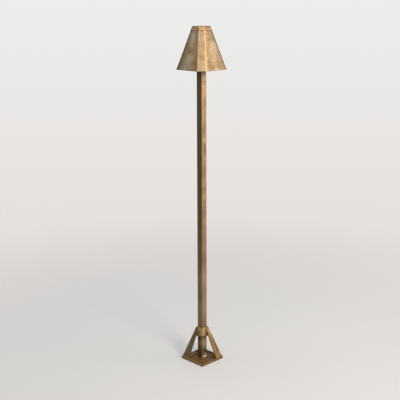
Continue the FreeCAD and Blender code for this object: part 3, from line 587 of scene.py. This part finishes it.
def plain_finish(name, dark, light, grain_mm, gloss, relief_mm=0.01, stretch=(1, 1, 1), **sockets):
    """One material all through: two close tones, a gloss and a relief that share a grain."""
    material, tree, place = new_material(name)
    laid = add(tree, "ShaderNodeMapping", {"Vector": (place, "Object"), "Scale": stretch})
    grain = noise(tree, laid, grain_mm, Detail=4.0)
    colour = add(tree, "ShaderNodeMix", {
        "Factor": grain, "A": tone(dark), "B": tone(light)}, data_type="RGBA")
    rough = fade(tree, grain, *NOISE_SPREAD, *gloss)
    relief = add(tree, "ShaderNodeBump", {"Height": grain, "Distance": relief_mm * MM})
    shader = add(tree, "ShaderNodeBsdfPrincipled", {
        "Base Color": colour, "Roughness": rough, "Normal": relief,
        **{label.replace("_", " "): value for label, value in sockets.items()}})
    add(tree, "ShaderNodeOutputMaterial", {"Surface": shader})
    return material


# %% Metals and rubber
# Turned and milled brass, out of the rain: golden, with tool marks round the axis
finishes["plain_brass"] = plain_finish(
    "turned brass", "#8f6d39", "#ae8b53", 2.2, (0.28, 0.42), 0.02, (1, 1, 6), Metallic=1.0)
# Stainless steel, dulled by weather: grey, with the fine grain of a turned head
finishes["screw_steel"] = plain_finish(
    "turned stainless steel", "#6f6a62", "#8b857b", 0.7, (0.46, 0.6), 0.01, Metallic=1.0)
# Nickel plate: bright and a little yellow beside steel
finishes["contact_metal"] = plain_finish(
    "nickel plate", "#b3aea4", "#cbc6bb", 0.8, (0.18, 0.3), 0.005, Metallic=1.0)
# Moulded rubber: near black under a film of brown dust, no gloss
finishes["black_rubber"] = plain_finish(
    "moulded rubber", "#332b24", "#584a3a", 1.8, (0.62, 0.8), 0.03)
print("finishes so far:", len(finishes))

# %% Lamp and wiring
# Steatite: a dense unglazed ceramic, cream and slightly speckled
finishes["holder_ceramic"] = plain_finish(
    "pressed steatite", "#cfc9bb", "#e6e1d6", 1.2, (0.5, 0.65), 0.02)
# Extruded insulation: black, with faint lines along the wire
finishes["lead_insulation"] = plain_finish(
    "extruded insulation", "#131315", "#232325", 0.8, (0.4, 0.55), 0.01, (1, 1, 0.05))
# Crimp sleeve of nylon: red, waxy
finishes["splice_sleeve"] = plain_finish(
    "moulded nylon sleeve", "#7d1512", "#97201b", 1.5, (0.3, 0.45), 0.01)
# Lamp foot, moulded in a heat-proof plastic
finishes["lamp_foot"] = plain_finish(
    "moulded white plastic", "#d3d1ca", "#e2e0da", 1.4, (0.35, 0.5), 0.01)
# Solder mask on the board: white lacquer, slightly orange-peeled
finishes["board_white"] = plain_finish(
    "white board lacquer", "#dcdad2", "#efede6", 0.9, (0.3, 0.4), 0.01)
# Phosphor in clear gel: strong yellow, smooth
finishes["chip_yellow"] = plain_finish(
    "phosphor gel", "#d9b032", "#e8c74c", 0.6, (0.2, 0.3), 0.005)
# Clear moulded cover: light goes through it, and its skin has faint flow marks
finishes["lamp_clear"] = plain_finish(
    "clear moulded plastic", "#e9eef0", "#f4f7f8", 3.0, (0.04, 0.1), 0.01,
    Transmission_Weight=1.0, IOR=1.58)
print("finishes in all:", len(finishes))

# %% [markdown]
# ## Dressing the solids
# The record names a slot for every solid, and each slot now has a finish. Giving them out by
# hand would be easy to get wrong for thirty solids, so a loop reads the record instead.

# %% Dress the solids
for part in frame["record"]["subparts"]:
    mesh = nodes[part["node"]].data
    mesh.materials.clear()
    mesh.materials.append(finishes[part["material_slot"]])

# %% [markdown]
# ## Shapes that follow a path
# The hat, the braze and the thread all follow a rule: something is carried along a path.
# Geometry Nodes are made for that. Each tree below takes a drawn path and named sizes, and
# gives back a mesh. The result is then kept as a plain mesh, so nothing later depends on the
# tree. A path is only points and edges, and the tree turns it into a curve.

# %% Paths and trees


def draw_path(name, loops, closed):
    """Draw one or more runs of points, joined by edges."""
    points = []
    edges = []
    for loop in loops:
        first = len(points)
        points.extend(loop)
        edges.extend((number, number + 1) for number in range(first, len(points) - 1))
        if closed:
            edges.append((len(points) - 1, first))
    mesh = bpy.data.meshes.new(name)
    mesh.from_pydata(points, edges, [])
    path = bpy.data.objects.new(name, mesh)
    scene.collection.objects.link(path)
    return path


def new_shape_tree(name, sizes):
    """Start a tree that takes a path, named sizes and a finish, and gives a piece."""
    tree = bpy.data.node_groups.new(name, "GeometryNodeTree")
    for label, kind in {"Path": "Geometry", **sizes, "Finish": "Material"}.items():
        tree.interface.new_socket(label, in_out="INPUT", socket_type=f"NodeSocket{kind}")
    tree.interface.new_socket("Piece", in_out="OUTPUT", socket_type="NodeSocketGeometry")
    return tree, add(tree, "NodeGroupInput")


def close_tree(tree, given, mesh):
    """End a tree: a smooth, plain mesh with its finish."""
    smooth = add(tree, "GeometryNodeSetShadeSmooth", {"Geometry": mesh})
    plain = add(tree, "GeometryNodeRealizeInstances", {"Geometry": smooth})
    painted = add(tree, "GeometryNodeSetMaterial", {
        "Geometry": plain, "Material": (given, "Finish")})
    add(tree, "NodeGroupOutput", {"Piece": painted})
    print(tree.name, "tree of", len(tree.nodes), "nodes")


# %% Grow a piece
WELD = 0.002 * MM
SHARP_ANGLE = math.radians(35)
NOISE_MIDDLE = 0.5


def grow(name, path, tree, sizes):
    """Run a tree on a path and keep what it makes as a plain closed mesh."""
    modifier = path.modifiers.new("shape", "NODES")
    modifier.node_group = tree
    for item in tree.interface.items_tree:
        if item.in_out == "INPUT" and item.name in sizes:
            modifier[item.identifier] = sizes[item.name]
    shaped = path.evaluated_get(bpy.context.evaluated_depsgraph_get())
    mesh = bpy.data.meshes.new_from_object(shaped)
    path.modifiers.remove(modifier)
    bpy.data.objects.remove(path)
    build = bmesh.new()
    build.from_mesh(mesh)
    bmesh.ops.remove_doubles(build, verts=build.verts, dist=WELD)
    bmesh.ops.recalc_face_normals(build, faces=build.faces)
    open_edges = sum(1 for edge in build.edges if len(edge.link_faces) != 2)
    build.to_mesh(mesh)
    build.free()
    mesh.name = name
    mesh.set_sharp_from_angle(angle=SHARP_ANGLE)
    piece = bpy.data.objects.new(name, mesh)
    scene.collection.objects.link(piece)
    print(name, len(mesh.polygons), "faces,", open_edges, "open edges")
    return piece


# %% [markdown]
# ## The hat
# The hat is one sheet, folded into eight sides, with its lower edge turned up inside as a
# hem. It could be modelled face by face, but its rule is simple: the section of the sheet,
# with the hem's fold at its foot, is carried round an outline that grows from the top ring
# to the bottom ring. The tree draws both rings as squares with cut corners, rounds the
# bends, and sets each point of the section between the two rings. A very slight wave is left
# in the faces, because hand-folded sheet is never quite flat.

# %% Section of the sheet
FOLD_STEPS = 5

hat_tree, given = new_shape_tree("folded hat", {
    "Bottom Side": "Float", "Bottom Corner": "Float", "Top Side": "Float", "Top Corner": "Float",
    "Height": "Float", "Foot Level": "Float", "Bend": "Float", "Fold": "Float",
    "Row Spacing": "Float", "Wave": "Float", "Wave Size": "Float", "Seed": "Float",
    "Bend Steps": "Int", "Flat Cuts": "Int"})
tree = hat_tree
number = add(tree, "GeometryNodeInputIndex")
position = add(tree, "GeometryNodeInputPosition")
section = add(tree, "GeometryNodeMeshToCurve", {"Mesh": (given, "Path")})
folded = add(tree, "GeometryNodeFilletCurve", {
    "Curve": section, "Count": FOLD_STEPS, "Radius": (given, "Fold"), "Limit Radius": True,
}, mode="POLY")
following = integers(tree, "ADD", number, 1)
next_place = add(tree, "GeometryNodeFieldAtIndex", {
    "Value": position, "Index": following}, data_type="FLOAT_VECTOR")
span = vectors(tree, "DISTANCE", position, next_place)
rows_here = maths(tree, "DIVIDE", (span, "Value"), (given, "Row Spacing"))
section_rows = add(tree, "GeometryNodeSubdivideCurve", {"Curve": folded, "Cuts": rows_here})
section_size = add(tree, "GeometryNodeAttributeDomainSize", {0: section_rows}, component="CURVE")
section_points = (section_size, "Point Count")
print("section drawn with", len(tree.nodes), "nodes")

# %% Rings of the hat
# After the bends are rounded, every run of bend points is followed by one flat
steps_in_bend = integers(tree, "ADD", (given, "Bend Steps"), 1)
place_in_side = integers(tree, "MODULO", number, steps_in_bend)
is_flat = add(tree, "FunctionNodeCompare", {
    "A": place_in_side, "B": (given, "Bend Steps")}, data_type="INT", operation="EQUAL")
cuts_here = integers(tree, "MULTIPLY", is_flat, (given, "Flat Cuts"))
rings = {}
for end in ("Bottom", "Top"):
    square = add(tree, "GeometryNodeCurvePrimitiveQuadrilateral", {
        "Width": (given, f"{end} Side"), "Height": (given, f"{end} Side")})
    eight = add(tree, "GeometryNodeFilletCurve", {
        "Curve": square, "Count": 1, "Radius": (given, f"{end} Corner")}, mode="POLY")
    bent = add(tree, "GeometryNodeFilletCurve", {
        "Curve": eight, "Count": (given, "Bend Steps"), "Radius": (given, "Bend")}, mode="POLY")
    rings[end] = add(tree, "GeometryNodeSubdivideCurve", {"Curve": bent, "Cuts": cuts_here})
ring_size = add(tree, "GeometryNodeAttributeDomainSize", {0: rings["Bottom"]}, component="CURVE")
ring_points = (ring_size, "Point Count")
print("rings:", list(rings))

# %% Grid between the rings
# A grid has one column for each ring point and one row for each section point, and its last
# column and row fall on the first
columns = integers(tree, "ADD", ring_points, 1)
rows = integers(tree, "ADD", section_points, 1)
grid = add(tree, "GeometryNodeMeshGrid", {"Vertices X": columns, "Vertices Y": rows})
column = integers(tree, "MODULO", integers(tree, "DIVIDE_FLOOR", number, rows), ring_points)
row = integers(tree, "MODULO", integers(tree, "MODULO", number, rows), section_points)
section_place = add(tree, "GeometryNodeSampleIndex", {
    "Geometry": section_rows, "Value": position, "Index": row}, data_type="FLOAT_VECTOR")
drawn = add(tree, "ShaderNodeSeparateXYZ", {"Vector": section_place})
lift = maths(tree, "DIVIDE", (drawn, "Z"), (given, "Height"))


def between_rings(field):
    """Take a field at this column of both rings, and blend it by the height."""
    ends = [add(tree, "GeometryNodeSampleIndex", {
        "Geometry": rings[end], "Value": field, "Index": column}, data_type="FLOAT_VECTOR")
        for end in ("Bottom", "Top")]
    return add(tree, "ShaderNodeMix", {
        "Factor": lift, "A": ends[0], "B": ends[1]}, data_type="VECTOR")


level_place = between_rings(position)
level_way = between_rings(add(tree, "GeometryNodeInputTangent"))
across = vectors(tree, "CROSS_PRODUCT", level_way, (0, 0, 1))
outward = vectors(tree, "NORMALIZE", across)
print("grid laid with", len(tree.nodes), "nodes so far")

# %% Wave of the faces
# The wave dies out at the hem and at the top, where other pieces fit
WAVE_FROM_FOOT = (0.08, 0.3)
WAVE_FROM_TOP = (0.92, 0.7)

wave_scale = maths(tree, "DIVIDE", 1.0, (given, "Wave Size"))
wave_height = add(tree, "ShaderNodeCombineXYZ", {"Z": (drawn, "Z")})
wave_spot = vectors(tree, "ADD", level_place, wave_height)
seeded = add(tree, "ShaderNodeTexNoise", {
    "Vector": wave_spot, "W": (given, "Seed"), "Scale": wave_scale, "Detail": 1.0,
}, noise_dimensions="4D")
swing = maths(tree, "SUBTRACT", seeded, NOISE_MIDDLE)
from_foot = fade(tree, lift, *WAVE_FROM_FOOT, smooth=True)
from_top = fade(tree, lift, *WAVE_FROM_TOP, smooth=True)
free = maths(tree, "MULTIPLY", from_foot, from_top)
swung = maths(tree, "MULTIPLY", swing, free)
inset = maths(tree, "MULTIPLY_ADD", swung, (given, "Wave"), (drawn, "X"))
reach = add(tree, "ShaderNodeVectorMath", {0: outward, "Scale": inset}, operation="SCALE")
level = maths(tree, "ADD", (drawn, "Z"), (given, "Foot Level"))
height = add(tree, "ShaderNodeCombineXYZ", {"Z": level})
flat_place = vectors(tree, "ADD", level_place, reach)
place = vectors(tree, "ADD", flat_place, height)
sheet = add(tree, "GeometryNodeSetPosition", {"Geometry": grid, "Position": place})
print("sheet set in place with", len(tree.nodes), "nodes so far")

# %% Mark of the bends
# The finish needs to know how near a bend each point lies, so the tree writes that down
BEND_FADE_COLUMNS = 4.0

period = integers(tree, "ADD", steps_in_bend, (given, "Flat Cuts"))
place_in_period = integers(tree, "MODULO", column, period)
past_bend = integers(tree, "SUBTRACT", place_in_period, (given, "Bend Steps"))
to_next = integers(tree, "SUBTRACT", period, place_in_period)
off_bend = maths(tree, "MINIMUM", past_bend, to_next)
nearness = fade(tree, off_bend, 0.0, BEND_FADE_COLUMNS, 1.0, 0.0)
marked = add(tree, "GeometryNodeStoreNamedAttribute", {
    "Geometry": sheet, "Name": "bend", "Value": nearness}, data_type="FLOAT", domain="POINT")
whole = add(tree, "GeometryNodeMergeByDistance", {"Geometry": marked, "Distance": WELD})
close_tree(tree, given, whole)

# %% Hat
SHEET = 1.3 * MM
HEM = 8.0 * MM
HAT_HEIGHT = 106.5 * MM
HEM_STEP = 0.25 * MM
HEM_CREASE = 0.8 * MM
# Just under the sheet's thickness, so that the curves on both sides of the fold do not meet
FOLD_RADIUS = 0.98 * SHEET

hat_section = [
    (0, 0, HAT_HEIGHT), (0, 0, HEM + HEM_CREASE), (HEM_STEP, 0, HEM - HEM_CREASE),
    (HEM_STEP, 0, 0), (-2 * SHEET, 0, 0),
    (-2 * SHEET, 0, HEM), (-SHEET, 0, HEM), (-SHEET, 0, HAT_HEIGHT),
]
hat = grow("hat_sheet", draw_path("hat_section", [hat_section], closed=True), hat_tree, {
    "Bottom Side": 117.0 * MM, "Bottom Corner": 19.4 * MM, "Top Side": 54.6 * MM,
    "Top Corner": 14.0 * MM, "Height": HAT_HEIGHT, "Foot Level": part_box("shade")[0].z,
    "Bend": 5.0 * MM, "Fold": FOLD_RADIUS, "Row Spacing": 6.0 * MM, "Wave": 0.5 * MM,
    "Wave Size": 45.0 * MM, "Seed": 4.0, "Bend Steps": 6, "Flat Cuts": 9,
    "Finish": finishes["shade_brass"]})
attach(hat, "hat")
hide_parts("shade")

# %% [markdown]
# ## Braze and solder
# The braces are brazed to the plate and the collar, and the roof is soldered into the hat. A
# filler metal is drawn into each joint by heat and stays in the corner as a thin, slightly
# lumpy fillet. Modelling the lumps by hand would be slow and would look regular. So a small
# round section is carried along the joint, and noise pushes its skin in and out.

# %% Tree of a bead
bead_tree, given = new_shape_tree("bead of filler metal", {
    "Bead Radius": "Float", "Ripple": "Float", "Ripple Size": "Float", "Step": "Float",
    "Seed": "Float", "Sides": "Int"})
tree = bead_tree
joint = add(tree, "GeometryNodeMeshToCurve", {"Mesh": (given, "Path")})
even = add(tree, "GeometryNodeResampleCurve", {
    "Curve": joint, "Length": (given, "Step")}, mode="LENGTH")
section = add(tree, "GeometryNodeCurvePrimitiveCircle", {
    "Resolution": (given, "Sides"), "Radius": (given, "Bead Radius")})
tube = add(tree, "GeometryNodeCurveToMesh", {
    "Curve": even, "Profile Curve": section, "Fill Caps": True})
lump_scale = maths(tree, "DIVIDE", 1.0, (given, "Ripple Size"))
lumps = add(tree, "ShaderNodeTexNoise", {
    "Vector": add(tree, "GeometryNodeInputPosition"), "W": (given, "Seed"), "Scale": lump_scale,
    "Detail": 2.0}, noise_dimensions="4D")
swell = maths(tree, "SUBTRACT", lumps, NOISE_MIDDLE)
push = maths(tree, "MULTIPLY", swell, (given, "Ripple"))
offset = add(tree, "ShaderNodeVectorMath", {
    0: add(tree, "GeometryNodeInputNormal"), "Scale": push}, operation="SCALE")
lumpy = add(tree, "GeometryNodeSetPosition", {"Geometry": tube, "Offset": offset})
close_tree(tree, given, lumpy)

# %% Joints of the braces
PLATE_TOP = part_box("base_plate")[1].z / MM
COLLAR_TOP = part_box("base_collar")[1].z / MM
COLLAR_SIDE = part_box("base_collar")[1].x / MM
BRACE_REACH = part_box("leg_right")[1].x / MM
BRACE_WIDTH = 25.0
BRACE_SHEET = 4.0
HEAD_JOINT_HEIGHT = 11.1
HEAD_JOINT_ENDS = (3.0, 4.7)

foot_end = BRACE_REACH - BRACE_WIDTH
foot_inside = BRACE_REACH - BRACE_SHEET
foot_joint = [
    (BRACE_REACH, foot_end, PLATE_TOP), (BRACE_REACH, BRACE_REACH, PLATE_TOP),
    (foot_end, BRACE_REACH, PLATE_TOP), (foot_end, foot_inside, PLATE_TOP),
    (foot_inside, foot_inside, PLATE_TOP), (foot_inside, foot_end, PLATE_TOP),
]
head_foot = COLLAR_TOP - HEAD_JOINT_HEIGHT
head_joint = [
    (COLLAR_SIDE, HEAD_JOINT_ENDS[0], COLLAR_TOP), (COLLAR_SIDE, HEAD_JOINT_ENDS[1], head_foot),
    (COLLAR_SIDE, COLLAR_SIDE, head_foot),
    (HEAD_JOINT_ENDS[1], COLLAR_SIDE, head_foot), (HEAD_JOINT_ENDS[0], COLLAR_SIDE, COLLAR_TOP),
]
print("braze at", round(PLATE_TOP, 1), "mm and up to", round(COLLAR_TOP, 1), "mm")

# %% Braze at the braces
# The filler takes the brace's finish at its foot and the collar's lighter one at its head
FOOT_BEAD = 1.1 * MM
HEAD_BEAD = 1.5 * MM
braze_sizes = {"Ripple": 0.7 * MM, "Ripple Size": 3.0 * MM, "Step": 0.9 * MM, "Seed": 11.0,
               "Sides": 10}


def both_braces(joint):
    """Give a joint of one brace in metres, and the same joint half a turn round."""
    return [[(side * x * MM, side * y * MM, z * MM) for x, y, z in joint] for side in (1, -1)]


for name, joint, closed, radius, slot in (
        ("foot_braze", foot_joint, True, FOOT_BEAD, "leg_brass"),
        ("head_braze", head_joint, False, HEAD_BEAD, "base_brass")):
    bead = grow(name, draw_path(name, both_braces(joint), closed), bead_tree,
                {**braze_sizes, "Bead Radius": radius, "Finish": finishes[slot]})
    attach(bead, "post")

# %% Solder under the roof
ROOF_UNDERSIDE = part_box("shade_roof")[0].z
ROOF_INSIDE = 25.75 * MM
ROOF_CUT = 12.1 * MM
SOLDER_BEAD = 0.9 * MM

roof_joint = []
for turn in range(4):
    quarter = turn * math.pi / 2
    for along in (-ROOF_CUT, ROOF_CUT):
        roof_joint.append((ROOF_INSIDE * math.cos(quarter) - along * math.sin(quarter),
                           ROOF_INSIDE * math.sin(quarter) + along * math.cos(quarter),
                           ROOF_UNDERSIDE))
solder = grow("roof_solder", draw_path("roof_solder", [roof_joint], closed=True), bead_tree, {
    **braze_sizes, "Bead Radius": SOLDER_BEAD, "Seed": 23.0, "Finish": finishes["shade_brass"]})
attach(solder, "hat")

# %% [markdown]
# ## The cap screw's thread
# A screw that is turned and lifted out shows its thread. In the solids its shank is a plain
# rod as thick as the thread's crests. Here a copy of the screw has its shank thinned to the
# bottom of the thread, and a ridge is wound on it. A Screw modifier could do that as well,
# but a spiral in Geometry Nodes takes the pitch as a named size.

# %% Tree of the thread
RIDGE_SIDES = 6

thread_tree, given = new_shape_tree("wound thread", {
    "Core Radius": "Float", "Ridge": "Float", "Pitch": "Float", "Length": "Float",
    "Foot Level": "Float", "Turn Steps": "Int"})
tree = thread_tree
turns = maths(tree, "DIVIDE", (given, "Length"), (given, "Pitch"))
spiral = add(tree, "GeometryNodeCurveSpiral", {
    "Resolution": (given, "Turn Steps"), "Rotations": turns, "Height": (given, "Length"),
    "Start Radius": (given, "Core Radius"), "End Radius": (given, "Core Radius")})
ridge = add(tree, "GeometryNodeCurvePrimitiveCircle", {
    "Resolution": RIDGE_SIDES, "Radius": (given, "Ridge")})
wound = add(tree, "GeometryNodeCurveToMesh", {
    "Curve": spiral, "Profile Curve": ridge, "Fill Caps": True})
foot = add(tree, "ShaderNodeCombineXYZ", {"Z": (given, "Foot Level")})
raised = add(tree, "GeometryNodeTransform", {"Geometry": wound, "Translation": foot})
close_tree(tree, given, raised)

# %% Thin the shank
SHANK = 2.5 * MM
SHANK_SLACK = 0.05 * MM
CORE = 2.08 * MM
SOLID_WELD = 0.01 * MM

screw_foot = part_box("cap_screw")[0].z
screw_mesh = nodes["cap_screw"].data.copy()
build = bmesh.new()
build.from_mesh(screw_mesh)
bmesh.ops.remove_doubles(build, verts=build.verts, dist=SOLID_WELD)
shank = [corner for corner in build.verts if abs(corner.co.xy.length - SHANK) < SHANK_SLACK]
neck_level = max(corner.co.z for corner in shank)
for corner in shank:
    corner.co.xy *= CORE / SHANK
build.to_mesh(screw_mesh)
build.free()
print("shank of", len(shank), "corners up to", round(neck_level / MM, 1), "mm")

# %% Cap screw
# The thread starts a little above the tip and ends clear of the neck
THREAD_START = 0.5 * MM
THREAD_SHORTER = 1.8 * MM

axis = draw_path("thread_axis", [[(0, 0, 0), (0, 0, 1 * MM)]], closed=False)
thread = grow("cap_screw_thread", axis, thread_tree, {
    "Core Radius": CORE, "Ridge": 0.41 * MM, "Pitch": 0.8 * MM, "Turn Steps": 24,
    "Length": neck_level - screw_foot - THREAD_SHORTER, "Foot Level": screw_foot + THREAD_START,
    "Finish": finishes["screw_steel"]})
screw = bpy.data.objects.new("cap_screw_threaded", screw_mesh)
scene.collection.objects.link(screw)
for piece in (screw, thread):
    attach(piece, "fastening")
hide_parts("cap_screw")
